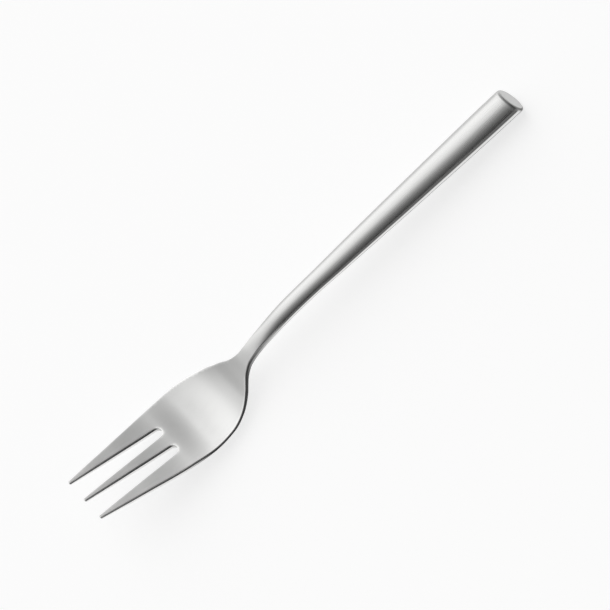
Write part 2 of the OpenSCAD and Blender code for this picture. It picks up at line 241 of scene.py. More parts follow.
class Form:
    """The fork's sizes in millimetres and the curves drawn from them, with x from the tips. The shares that
    place the curves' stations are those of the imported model."""

    def __init__(self, sizes):
        for name in ForkSizes.__annotations__:
            value = getattr(sizes, name)
            setattr(self, name, value if name in ("handle_fall", "butt_cut") else value / MM)
        cut = self.butt_cut
        self.seam_x = self.head_length + self.seam_distance
        self.crest_x = self.head_length + self.seam_distance * 1.25
        self.straight_x = self.head_length + self.seam_distance * 2.8
        self.flat_x = self.head_length * 0.9
        self.past_x = self.overall_length + OVERRUN
        self.fall, self.cut_slope = tan(self.handle_fall), tan(cut)
        self.face_tall = self.butt_thickness / 2 / (cos(cut) - sin(cut) * self.fall)
        rim = [p for a in quarter(CAD_ROUND_STEPS) for p in self.round_ring(a, CAD_RIM_STEPS)]
        self.butt_x = self.overall_length - max(p[0] * cos(cut) - p[2] * sin(cut) for p in rim)
        self.butt_height = -min(p[0] * sin(cut) + p[2] * cos(cut) for p in rim)
        self.land_x = self.butt_x - self.butt_thickness / 2 * self.cut_slope - self.cap_thickness
        # where the inner face of the closing plate crosses the middle line of the handle
        self.plate_x = self.butt_x - self.cap_thickness / cos(cut) / (1 - self.cut_slope * self.fall)
        self.middle_x = (self.straight_x + self.land_x) / 2
        self.make_widths()
        self.make_thicknesses()
        self.make_spine()

    def handle_line(self, x):
        """Height of the middle line along the straight part of the handle."""
        return self.butt_height + (self.butt_x - x) * self.fall

    def make_widths(self):
        wide, neck, tine, long = self.head_width, self.neck_width, self.tine_length, self.head_length
        straight = self.seam_width + (self.butt_width - self.seam_width) * 0.27
        swell = self.seam_width + (straight - self.seam_width) * 0.36
        tips, root = (self.slot_spacing + self.tip_width / 2) * 2, wide * 0.944
        self.handle_widths = (
            (self.seam_x, self.seam_width), ((self.crest_x + self.straight_x) / 2, swell),
            (self.straight_x, straight), (self.middle_x, (straight + self.butt_width) * 0.52),
            (self.land_x, self.butt_width), (self.past_x, self.butt_width))
        self.half_width = Curve([
            (0, tips / 2), (tine * 0.5, (tips + root) / 4), (tine, root / 2),
            (long * 0.595, wide * 0.5), (long * 0.69, wide * 0.473), (long * 0.78, wide * 0.392),
            (long * 0.855, wide * 0.266), (long * 0.92, neck / 2 + (wide - neck) * 0.05),
            (long * 0.965, neck / 2 + (wide - neck) * 0.005), (long + self.seam_distance * 0.1, neck / 2)]
            + [(x, width / 2) for x, width in self.handle_widths])

    def make_thicknesses(self):
        tine, tip, thick = self.tine_length, self.tip_thickness, self.tine_thickness
        rim, neck, long = self.rim_thickness, self.neck_thickness, self.head_length
        ratio = self.butt_thickness / self.butt_width
        self.thickness = Curve([
            (0, tip), (tine * 0.3, (tip + thick * 2) / 3), (tine * 0.75, thick), (tine, thick * 0.92),
            (long * 0.59, rim * 1.1), (long * 0.66, rim), (long * 0.76, rim * 1.2),
            (long * 0.88, (rim + neck * 3) / 4), (long, neck)]
            + [(x, width * ratio) for x, width in self.handle_widths])
        self.hollow = Curve([
            (0, 0), (tine * 0.6, 0.2), (tine, 0.4), (long * 0.6, 0.9), (long * 0.735, 1),
            (long * 0.8, 0.85), (long * 0.9, 0.15), (long * 0.94, 0), (self.past_x, 0)])

    def make_spine(self):
        tine, long, neck = self.tine_length, self.head_length, self.neck_height
        crest = self.handle_line(self.crest_x) - (self.straight_x - self.crest_x) * self.fall * 0.2
        behind = [(x, self.handle_line(x))
                  for x in (self.straight_x, self.middle_x, self.butt_x, self.past_x)]

        def over(belly):
            tip, rise = self.tip_height - belly, neck - belly
            return Curve([
                (0, self.tip_height), (tine * 0.5, belly + tip * 0.585), (tine * 0.98, belly + tip * 0.225),
                (long * 0.59, belly + tip * 0.08), (long * 0.735, belly), (long * 0.82, belly + rise * 0.13),
                (long * 0.885, belly + rise * 0.42), (long * 0.945, belly + rise * 0.76), (long, neck),
                (long + self.seam_distance * 0.45, neck + (crest - neck) * 0.56), (self.crest_x, crest)]
                + behind)

        level = self.bowl_dish + self.bowl_thickness
        line = over(level)
        self.spine = over(level - min(
            line(x) - self.thick(x) / 2 - (self.bowl_dish + max(0, self.bowl_thickness - self.thick(x)))
            * self.hollow(x) for x in evenly(tine, self.flat_x, CAD_HEAD_STEP)))

    def blunt(self, x):
        """How far a tip is rounded away, from 1 at its end to 0 where its round ends."""
        return 1 - sqrt(1 - (1 - max(0, x) / self.tip_radius) ** 2) if x < self.tip_radius else 0

    def half(self, x):
        return self.half_width(x) - self.tip_radius * self.blunt(x)

    def thick(self, x):
        return self.thickness(x) * (1 - self.blunt(x) / 2)

    def edge(self, x):
        return min(self.edge_radius, self.thick(x) * EDGE_SHARE)

    def root_glow(self, x, y):
        """How far the painted highlight beside the rolled edge of a slot's round root reaches over the face,
        from 0 to 1.
        """
        radius = self.slot_root_width / 2
        ahead, side = x - self.tine_length + radius, abs(y) - self.slot_spacing / 2
        away = hypot(ahead, side)
        return ahead / away * exp(-max(0, away - radius) / ROOT_HIGHLIGHT_REACH) if ahead > 0 else 0

    def tines_to_bowl(self, x):
        """0 along the tines and 1 round the bowl, with a smooth change between."""
        return eased((x / self.tine_length - BOWL_FROM_SHARE) / BOWL_OVER_SHARE)

    def round_ring(self, turn, count, depth=0.0):
        """A ring of the rounded rim of the butt face, in the frame of the face."""
        radius = self.butt_rim_radius
        back, inset = radius * (1 - cos(turn)) + depth, radius * (1 - sin(turn))
        lean = tan(self.butt_cut + self.handle_fall)
        return [(-back, (self.butt_width / 2 - inset) * cos(a),
                 (self.face_tall - inset) * sin(a) + back * lean) for a in turns(count)]

    def oval_point(self, x, inset, turn):
        """A point of the handle's oval section, a distance inside its outside."""
        return (x, (self.half(x) - inset) * cos(turn),
                self.spine(x) + (self.thick(x) / 2 - inset) * sin(turn))

    def at_face(self, p):
        """A point of the butt face's frame, at its place along the fork."""
        cut = self.butt_cut
        return (self.butt_x + p[0] * cos(cut) - p[2] * sin(cut), p[1],
                self.handle_line(self.butt_x) + p[0] * sin(cut) + p[2] * cos(cut))

    def placed(self, x, y, z):
        """A point of the fork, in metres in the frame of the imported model."""
        return Vector(((x - self.overall_length / 2) * MM, y * MM, z * MM))

    def top(self, x, y):
        """Height of the top of the flat part of the head."""
        flat = min(1, abs(y) / (self.half(x) - self.edge(x)))
        return self.spine(x) + self.thick(x) / 2 - self.bowl_dish * self.hollow(x) * (1 - flat * flat)

    def belly(self, x, y):
        """Height of the underside of the flat part of the head."""
        flat = min(1, abs(y) / (self.half(x) - self.edge(x)))
        bulge = max(0, self.bowl_thickness - self.thick(x)) * self.hollow(x)
        return (self.spine(x) - self.thick(x) / 2
                - (self.bowl_dish * self.hollow(x) + bulge) * (1 - flat * flat))


def new_object(name, data):
    """An object in the scene, at the origin."""
    made = bpy.data.objects.new(name, data)
    bpy.context.scene.collection.objects.link(made)
    return made


def finished(name, points, faces, finish, nodes, smooth_within=40, tones=None):
    """Makes a piece from points in metres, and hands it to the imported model."""
    mesh = bpy.data.meshes.new(name)
    mesh.from_pydata(points, [], faces)
    if tones:
        mesh.attributes.new("edge_tone", "FLOAT", "POINT").data.foreach_set("value", tones)
    hand_over(name, mesh, finish, nodes, smooth_within)


def hand_over(name, mesh, finish, nodes, smooth_within=40):
    """Merges what touches, turns the faces outwards, softens the edges up to a number of degrees, and ties
    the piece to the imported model."""
    bm = bmesh.new()
    bm.from_mesh(mesh)
    bmesh.ops.remove_doubles(bm, verts=bm.verts, dist=MERGE_WITHIN)
    bmesh.ops.recalc_face_normals(bm, faces=bm.faces)
    for face in bm.faces:
        face.smooth = True
    limit = radians(smooth_within)
    for edge in bm.edges:
        edge.smooth = len(edge.link_faces) == 2 and edge.calc_face_angle(0) < limit
    bm.to_mesh(mesh)
    bm.free()
    piece = new_object(name, mesh)
    mesh.materials.clear()
    mesh.materials.append(finish)
    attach(piece, "root")
    if nodes:
        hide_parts(*nodes)


def strips(rings, close_ends=True):
    """The faces between rings that follow one another, numbered in the order of their points."""
    n = len(rings[0])
    faces = [(i * n + j, (i + 1) * n + j, (i + 1) * n + (j + 1) % n, i * n + (j + 1) % n)
             for i in range(len(rings) - 1) for j in range(n)]
    if close_ends:
        faces += [tuple(range(n)), tuple(range(len(rings) * n - 1, (len(rings) - 1) * n - 1, -1))]
    return faces


def outline_of_head(f, step):
    """The outline of the flat part of the head, seen from above, from its left side at the neck round the
    tines to its right side, as (point, outward direction)."""
    radius, tip = f.slot_root_width / 2, f.tip_radius
    root_x = f.tine_length - radius
    flare = atan((f.slot_spacing - f.tip_width - f.slot_root_width) / 2 / root_x)
    wall_x, wall_y = root_x + radius * sin(flare), radius * cos(flare)
    tip_y = wall_y + (wall_x - tip) * tan(flare)

    def mirrored(side):
        return [((x, -y), Vector((out.x, -out.y))) for (x, y), out in reversed(side)]

    def slot(side):
        """One slot, from its left tine to its right tine."""
        walls = [((tip * (1 - cos(a)), tip_y + tip * (1 - sin(a))),
                  Vector((-cos(a), -sin(a)))) for a in quarter(TIP_STEPS)[1:]]
        walls += [((x, wall_y + (wall_x - x) * tan(flare)), Vector((-sin(flare), -cos(flare))))
                  for x in evenly(tip, wall_x, step)[1:-1]]
        turn = pi / 2 - flare
        root = [((root_x + radius * cos(a), radius * sin(a)), Vector((-cos(a), -sin(a))))
                for a in (turn - 2 * turn * i / ROOT_STEPS for i in range(ROOT_STEPS + 1))]
        middle = side * f.slot_spacing / 2
        return [((x, y + middle), out) for (x, y), out in walls + root + mirrored(walls)]

    left = [((x, f.half_width(x)), Vector((-f.half_width.slope(x), 1)).normalized())
            for x in evenly(f.flat_x, tip, step)]
    left += [((tip * (1 - sin(a)), f.half_width(0) - tip * (1 - cos(a))),
              Vector((-sin(a), cos(a)))) for a in quarter(TIP_STEPS)[1:-1]]
    return left + slot(1) + slot(-1) + mirrored(left)


# Tones of the painted light on the edge round the head, from 1, a painted dark reflection, through 0, the
# face's own colour, to -1, a painted highlight: on the steps from the wall up to the face, at depths down the
# wall, and on the steps from the wall in to the belly. The first row is for the tines and the second for the
# bowl.
UPPER_TONES = ((1.0, 0.5, 0.0, 0.0, 0.0, 0.0), (1.0, 0.9, 0.1, -0.5, -0.7, -0.3))
WALL_TONES = ((0.40, 1.0, 1.0), (0.52, -1.0, 1.0))
LOWER_TONES = ((-0.8, 0.2, 1.0, 1.0, 0.6, 0.2), (1.0, 1.0, 0.5, 0.0, 0.0, 0.0))
# painted highlights on the edge round the roots of the slots
ROOT_TONES = (0.0, 0.0, -0.3, -0.6, -0.8, -0.5)
# Where the tones of the tines pass to those of the bowl, in tine lengths from the tips
BOWL_FROM_SHARE, BOWL_OVER_SHARE = 0.85, 0.4
# How far the outline has to turn across the fork for ROOT_TONES to take over, and the painted highlight of a
# slot's root on the face: its tone and how many millimetres it reaches
ROOT_FROM, ROOT_OVER = 0.35, 0.4
ROOT_PAINTED_HIGHLIGHT, ROOT_HIGHLIGHT_REACH = -0.6, 0.5
# Tones beside the welded side seams, a painted bright reflection at the seam between painted darker borders,
# by the cosine of the turn round the handle, which is 1 at the seam.
SEAM_PAINTED_LIGHT = ((0.81, 0.0), (0.875, 0.4), (0.915, 0.6), (0.96, 0.8), (0.982, 0.75), (0.989, -0.9),
              (1.0, -0.9))
# The angles of the oval that half a flat and half a wall of the neck become, and how much of its painted dark
# reflection the lower edge loses, and over how much of the way
FLAT_ARC, SIDE_ARC = radians(56), radians(4)
NECK_PALER, PALER_OVER_SHARE = 0.45, 0.25


def painted_seam_light(turn):
    """The painted light at a turn round the handle."""
    nearness = abs(cos(turn))
    for (low, tone), (high, next_tone) in zip(SEAM_PAINTED_LIGHT, SEAM_PAINTED_LIGHT[1:]):
        if low < nearness <= high:
            return tone + (next_tone - tone) * (nearness - low) / (high - low)
    return 0.0


def head_mesh(f):
    """The head: the flat part, filled from its outline, and the neck and root of the handle, lofted."""
    step = f.grid_step
    points, faces, tones = [], [], []
    outline = outline_of_head(f, step)
    n = len(outline)

    def add(x, y, z, tone=0.0):
        points.append(f.placed(x, y, z))
        tones.append(tone)
        return len(points) - 1

    def tone_at(x, out, tine_tone, bowl_tone, root_tone=0.0):
        """The painted light of the edge at a place of the outline. The slots' round roots have one of their
        own.
        """
        mixed = f.tines_to_bowl(x)
        tone = tine_tone * (1 - mixed) + bowl_tone * mixed
        if x > f.tine_length + NUDGE:
            return tone
        turned = max(0, min(1, (abs(out.x) - ROOT_FROM) / ROOT_OVER))
        return tone * (1 - turned) + root_tone * turned

    # the rings round the edge carry painted dark reflections and painted highlights in their tones
    rings = {}
    for up, surface, tone_rows in ((1, f.top, UPPER_TONES), (-1, f.belly, LOWER_TONES)):
        rings[up] = []
        for k, a in enumerate(quarter(ROUND)):
            ring = []
            for (x, y), out in outline:
                radius = f.edge(max(x, f.tip_radius))
                inset, drop = radius * (1 - cos(a)), radius * (1 - sin(a))
                px, py = x - out.x * inset, y - out.y * inset
                tone = tone_at(x, out, tone_rows[0][k], tone_rows[1][k], ROOT_TONES[k] if up > 0 else 0.0)
                ring.append(add(px, py, surface(max(px, 0), py) - up * drop, tone))
            rings[up].append(ring)
    # the wall carries a painted dark reflection, and lower down on the tines a painted bright reflection
    wall = []
    for depth, tine_tone, bowl_tone in WALL_TONES:
        ring = []
        for i, ((x, y), out) in enumerate(outline):
            high, low = points[rings[1][0][i]].z / MM, points[rings[-1][0][i]].z / MM
            ring.append(add(x, y, high + (low - high) * depth, tone_at(x, out, tine_tone, bowl_tone)))
        wall.append(ring)
    stack = list(reversed(rings[1])) + wall + rings[-1]
    for a, b in zip(stack, stack[1:]):
        faces += [(a[i], a[i + 1], b[i + 1], b[i]) for i in range(n - 1)]
    # the flat of the top and of the belly, filled between the inmost ring and the line across the neck
    inner = [(points[i].x / MM + f.overall_length / 2, points[i].y / MM) for i in rings[1][ROUND]]
    left, right = inner[0], inner[-1]
    across = [(f.flat_x, right[1] + (left[1] - right[1]) * j / ACROSS) for j in range(1, ACROSS)]
    border = inner + across
    inside = grid_inside(f, border, step)
    flat = [Vector(p) for p in border + inside]
    edges = [(i, (i + 1) % len(border)) for i in range(len(border))]
    ends = {}
    out_points, _, out_faces, sources, _, _ = geometry.delaunay_2d_cdt(flat, edges, [], 1, 1e-6)
    for up, surface in ((1, f.top), (-1, f.belly)):
        index = []
        for p, source in zip(out_points, sources):
            own = source[0] if source else len(flat)
            # a painted highlight on the face round each slot's root
            glow = ROOT_PAINTED_HIGHLIGHT * f.root_glow(p.x, p.y) if up > 0 else 0.0
            index.append(rings[up][ROUND][own] if own < n else add(p.x, p.y, surface(p.x, p.y), glow))
            if n <= own < len(border):
                ends[up, own - n] = index[-1]
        faces += [tuple(index[i] for i in face) for face in out_faces]
    # the open end of the flat part, in the order of a section of the neck
    line = range(ACROSS - 1)
    end = [stack[0][-1]] + [ends[1, j] for j in line] + [ring[0] for ring in stack]
    end += [ends[-1, j] for j in reversed(line)] + [ring[-1] for ring in reversed(stack[1:])]
    neck_rings(f, points, faces, tones, end)
    return points, faces, tones


def grid_inside(f, border, step):
    """Rows of points inside a border, clear of it by about half a step."""
    kept = []
    for i, x in enumerate(evenly(0, f.flat_x, step * ROW_SHARE)[1:-1], 1):
        width = f.half(x)
        count = ceil(width * 2 / step)
        crossings = []
        for a, b in zip(border, border[1:] + border[:1]):
            if (a[0] - x) * (b[0] - x) < 0:
                crossings.append(a[1] + (b[1] - a[1]) * (x - a[0]) / (b[0] - a[0]))
        crossings.sort()
        spans = list(zip(crossings[::2], crossings[1::2]))
        for j in range(count + 1):
            y = -width + (width * 2) * (j + 0.5 * (i % 2)) / count
            if any(low + step * CLEAR_SHARE < y < high - step * CLEAR_SHARE for low, high in spans):
                near = min((p[0] - x) ** 2 + (p[1] - y) ** 2 for p in border)
                if near > (step * 0.5) ** 2:
                    kept.append((x, y))
    return kept


def neck_section(f, x):
    """A section of the neck, from the top left round the left side and along the belly to the top right."""
    t = (x - f.flat_x) / (f.seam_x - f.flat_x)
    mixed, paler = eased(t), 1 - NECK_PALER * min(1, t / PALER_OVER_SHARE)
    half, tall, radius, middle = f.half(x), f.thick(x) / 2, f.edge(x), f.spine(x)
    corner = pi / 2 - FLAT_ARC - SIDE_ARC
    upper, lower = UPPER_TONES[1], LOWER_TONES[1]
    ring = []

    def put(bar_y, bar_z, turn, tone=0.0):
        """A point on its way from the bar to the oval, and from the painted light of the head's edge to that
        of the seam.
        """
        ring.append((bar_y * (1 - mixed) + half * cos(turn) * mixed,
                     middle + (bar_z - middle) * (1 - mixed) + tall * sin(turn) * mixed,
                     tone * (1 - t * t) + painted_seam_light(turn) * t * t))

    def sides(side):
        """One side of the section, down from the top for the left side and up for the right side."""
        steps = list(enumerate(quarter(ROUND)))
        down = [(half - radius * (1 - sin(a)), f.top(x, half) - radius * (1 - cos(a)),
                 SIDE_ARC + corner * (1 - k / ROUND), upper[ROUND - k]) for k, a in steps[1:]]
        high, low = f.top(x, half) - radius, f.belly(x, half) + radius
        down += [(half, high + (low - high) * depth, SIDE_ARC * (1 - 2 * depth), tone * kept)
                 for (depth, _, tone), kept in zip(WALL_TONES, (1, paler))]
        down += [(half - radius * (1 - cos(a)), f.belly(x, half) + radius * (1 - sin(a)),
                  -SIDE_ARC - corner * k / ROUND, lower[k] * paler) for k, a in steps[:-1]]
        for y, z, turn, tone in (down if side > 0 else reversed(down)):
            put(side * y, z, turn if side > 0 else pi - turn, tone)

    for up, surface in ((1, f.top), (-1, f.belly)):
        for j in range(ACROSS + 1):
            s = up * (2 * j / ACROSS - 1)
            y = s * (half - radius)
            put(y, surface(x, y), up * (pi / 2 - s * FLAT_ARC))
        sides(up)
    return ring


def neck_rings(f, points, faces, tones, end):
    """The neck, from the end of the flat part of the head to the seam, closed by the shoulder that the shells
    meet."""
    first, n = len(points), len(end)
    rings = [end]
    points.extend([points[i] for i in end])
    tones.extend([tones[i] for i in end])
    for x in evenly(f.flat_x, f.seam_x, NECK_STEP)[1:]:
        section = neck_section(f, x)
        rings.append(section)
        points.extend(f.placed(x, y, z) for y, z, _ in section)
        tones.extend(tone for _, _, tone in section)
    faces += [tuple(first + i for i in face) for face in strips(rings, close_ends=False)]
    faces.append(tuple(first + (len(rings) - 1) * n + j for j in range(n)))


def tang_mesh(f):
    """The boss and the notched tang that the handle hides."""
    points, faces = [], []

    def solid(rings):
        first = len(points)
        points.extend(f.placed(*p) for ring in rings for p in ring)
        faces.extend(tuple(first + i for i in face) for face in strips(rings))

    inset = f.shell_wall + SEAT_CLEARANCE
    solid([[f.oval_point(x, inset, a) for a in turns(BOSS_STEPS)]
           for x in (f.seam_x - BOSS_DEPTH / 4, f.seam_x, f.seam_x + BOSS_DEPTH)])
    stops = {TAPER_SHARE} | {i / TANG_STEPS for i in range(TANG_STEPS + 1)}
    for s in NOTCH_SHARES:
        stops |= {s + part * NOTCH_LENGTH / f.tang_length for part in (-0.5, -0.25, 0.25, 0.5)}
    rings, tall = [], f.tang_thickness / 2
    for s in sorted(stops):
        half = f.tang_width / 2 * (1 - (1 - END_SHARE) * max(0, s - TAPER_SHARE) / (1 - TAPER_SHARE))
        for notch in NOTCH_SHARES:
            near = (NOTCH_LENGTH / 2 - abs(s - notch) * f.tang_length) / (NOTCH_LENGTH / 4)
            half -= NOTCH_DEPTH * max(0, min(1, near))
        x = f.seam_x + f.tang_length * s
        rings.append([(x, y, f.spine(x) + z)
                      for y, z in ((-half, -tall), (half, -tall), (half, tall), (-half, tall))])
    solid(rings)
    return points, faces


def node(tree, kind, inputs=None, **settings):
    """Adds a node with its settings. An input gets a value, or a link from a socket or from the first output
    of another node."""
    made = tree.nodes.new(kind)
    for key, value in settings.items():
        setattr(made, key, value)
    for key, value in (inputs or {}).items():
        source = value.outputs[0] if isinstance(value, bpy.types.Node) else value
        if isinstance(source, bpy.types.NodeSocket):
            tree.links.new(source, made.inputs[key])
        else:
            made.inputs[key].default_value = value
    return made


def read_off(tree, source, table):
    """The grey that a table of (place, grey) stations has, by nodes, at the place that a source gives."""
    low, high = table[0][0], table[-1][0]
    part = node(tree, "ShaderNodeMapRange", {"Value": source, "From Min": low, "From Max": high})
    found = node(tree, "ShaderNodeValToRGB", {0: part})
    stops = found.color_ramp.elements
    while len(stops) < len(table):
        stops.new(0.5)
    for stop, (at, grey) in zip(stops, table):
        stop.position, stop.color = (at - low) / (high - low), (grey, grey, grey, 1)
    return found


def new_material(name):
    material = bpy.data.materials.new(name)
    material.use_nodes = True
    material.node_tree.nodes.clear()
    return material, material.node_tree


# Sizes of the patterns in millimetres. The lines of a real belt are about 0.05 mm wide, too fine for a
# picture with 0.26 mm to the pixel, so they are drawn coarser.
SATIN_GRAIN, PLATE_GRAIN, SATIN_PATCH, CEMENT_GRAIN = 0.67, 0.38, 5.3, 0.45
GRAIN_HEIGHT, GRAIN_LIFT = 0.04, 0.05  # millimetres, and how much of that the grain rises
GRAIN_ROUGHNESS, PATCH_ROUGHNESS = 0.045, 0.05  # how far the grain and the patches change the roughness
GRAIN_SHADE = 0.93  # the darkest that the grain gets
NOISE_LOW, NOISE_HIGH = 0.25, 0.75  # most values of a noise texture lie between these
PAINTED_EDGE_SHADE, PAINTED_EDGE_HIGHLIGHT = "111111", "F4F4F3"  # painted dark reflection for the edges, and painted highlight
FLOOR_GLOW = 0.7


def pattern_scale(millimetres):
    """The scale of a noise texture whose cells are as wide as this, in object coordinates in metres."""
    return 1 / (millimetres * MM)


def satin_steel(name, base, roughness, grain, stretch, change=None):
    """Stainless steel with a fine satin, with painted dark reflections and painted highlights on the edges
    where their point attribute says. Its grain is `grain` millimetres wide and runs the way in which
    `stretch` is small. `change` is where along the fork the finish passes to another one's colour and
    roughness: (from, to, colour, roughness)."""
    material, tree = new_material(name)
    place = node(tree, "ShaderNodeTexCoord").outputs["Object"]
    stretched = node(tree, "ShaderNodeMapping", {"Vector": place, "Scale": stretch})
    lines = node(tree, "ShaderNodeTexNoise",
                 {"Vector": stretched, "Scale": pattern_scale(grain), "Detail": 5.0, "Roughness": 0.62})
    patches = node(tree, "ShaderNodeTexNoise",
                   {"Vector": place, "Scale": pattern_scale(SATIN_PATCH), "Detail": 2.0})
    start, end, other, other_roughness = change or (0.0, 1.0, base, roughness)
    along = node(tree, "ShaderNodeSeparateXYZ", {0: place}).outputs["X"]
    passed = node(tree, "ShaderNodeMapRange", {"Value": along, "From Min": start, "From Max": end},
                  interpolation_type="SMOOTHSTEP")
    level = node(tree, "ShaderNodeMapRange",
                 {"Value": passed, "To Min": roughness, "To Max": other_roughness})
    rough = node(tree, "ShaderNodeMapRange", {"Value": lines, "From Min": NOISE_LOW, "From Max": NOISE_HIGH,
                                              "To Min": -GRAIN_ROUGHNESS, "To Max": GRAIN_ROUGHNESS})
    rough = node(tree, "ShaderNodeMath", {0: rough, 1: level}, operation="ADD")
    rough = node(tree, "ShaderNodeMath", {0: patches, 1: PATCH_ROUGHNESS, 2: rough}, operation="MULTIPLY_ADD")
    tint = node(tree, "ShaderNodeMix", {0: passed, 6: base, 7: other}, data_type="RGBA").outputs[2]
    shade = node(tree, "ShaderNodeMapRange", {"Value": lines, "To Min": GRAIN_SHADE, "To Max": 1.0})
    tint = node(tree, "ShaderNodeVectorMath", {0: tint, "Scale": shade}, operation="SCALE")
    # above 0 the edge gets a painted dark reflection, and below 0 a painted highlight
    dark = node(tree, "ShaderNodeAttribute", attribute_name="edge_tone").outputs["Fac"]
    bright = node(tree, "ShaderNodeMath", {0: dark, 1: -1.0}, operation="MULTIPLY")
    for amount, tone in ((dark, PAINTED_EDGE_SHADE), (bright, PAINTED_EDGE_HIGHLIGHT)):
        tint = node(tree, "ShaderNodeMix", {0: amount, 6: tint, 7: linear(tone)}, data_type="RGBA").outputs[2]
    bump = node(tree, "ShaderNodeBump",
                {"Height": lines, "Strength": GRAIN_LIFT, "Distance": GRAIN_HEIGHT * MM})
    steel = node(tree, "ShaderNodeBsdfPrincipled",
                 {"Base Color": tint, "Metallic": 1.0, "Roughness": rough, "Normal": bump})
    node(tree, "ShaderNodeOutputMaterial", {"Surface": steel})
    return material


def cement_material(base):
    """Set filling cement: dull, slightly mottled and grainy, and never seen from outside."""
    material, tree = new_material("set_filling_cement")
    place = node(tree, "ShaderNodeTexCoord").outputs["Object"]
    grains = node(tree, "ShaderNodeTexNoise",
                  {"Vector": place, "Scale": pattern_scale(CEMENT_GRAIN), "Detail": 4.0})
    dark = [c * 0.75 for c in base[:3]] + [1.0]
    tint = node(tree, "ShaderNodeMix", {0: grains, 6: dark, 7: base}, data_type="RGBA").outputs[2]
    bump = node(tree, "ShaderNodeBump", {"Height": grains, "Strength": 0.4, "Distance": 0.1 * MM})
    body = node(tree, "ShaderNodeBsdfPrincipled", {"Base Color": tint, "Roughness": 0.9, "Normal": bump})
    node(tree, "ShaderNodeOutputMaterial", {"Surface": body})
    return material


def floor_material(base):
    """Plain pale floor. Camera, glossy and transmission rays see it near white, and it keeps the shadow."""
    material, tree = new_material("pale_studio_floor")
    path = node(tree, "ShaderNodeLightPath").outputs
    seen = path["Is Camera Ray"]
    for ray in ("Is Glossy Ray", "Is Transmission Ray"):
        seen = node(tree, "ShaderNodeMath", {0: seen, 1: path[ray]}, operation="ADD", use_clamp=True)
    glow = node(tree, "ShaderNodeMath", {0: seen, 1: FLOOR_GLOW}, operation="MULTIPLY")
    matt = node(tree, "ShaderNodeBsdfDiffuse", {"Color": base})
    light = node(tree, "ShaderNodeEmission", {"Color": (1, 1, 1, 1), "Strength": glow})
    both = node(tree, "ShaderNodeAddShader", {0: matt, 1: light})
    node(tree, "ShaderNodeOutputMaterial", {"Surface": both})
    return material


LEAN_REACH = 9  # millimetres over which the sections of the shells come to lean like the butt plate


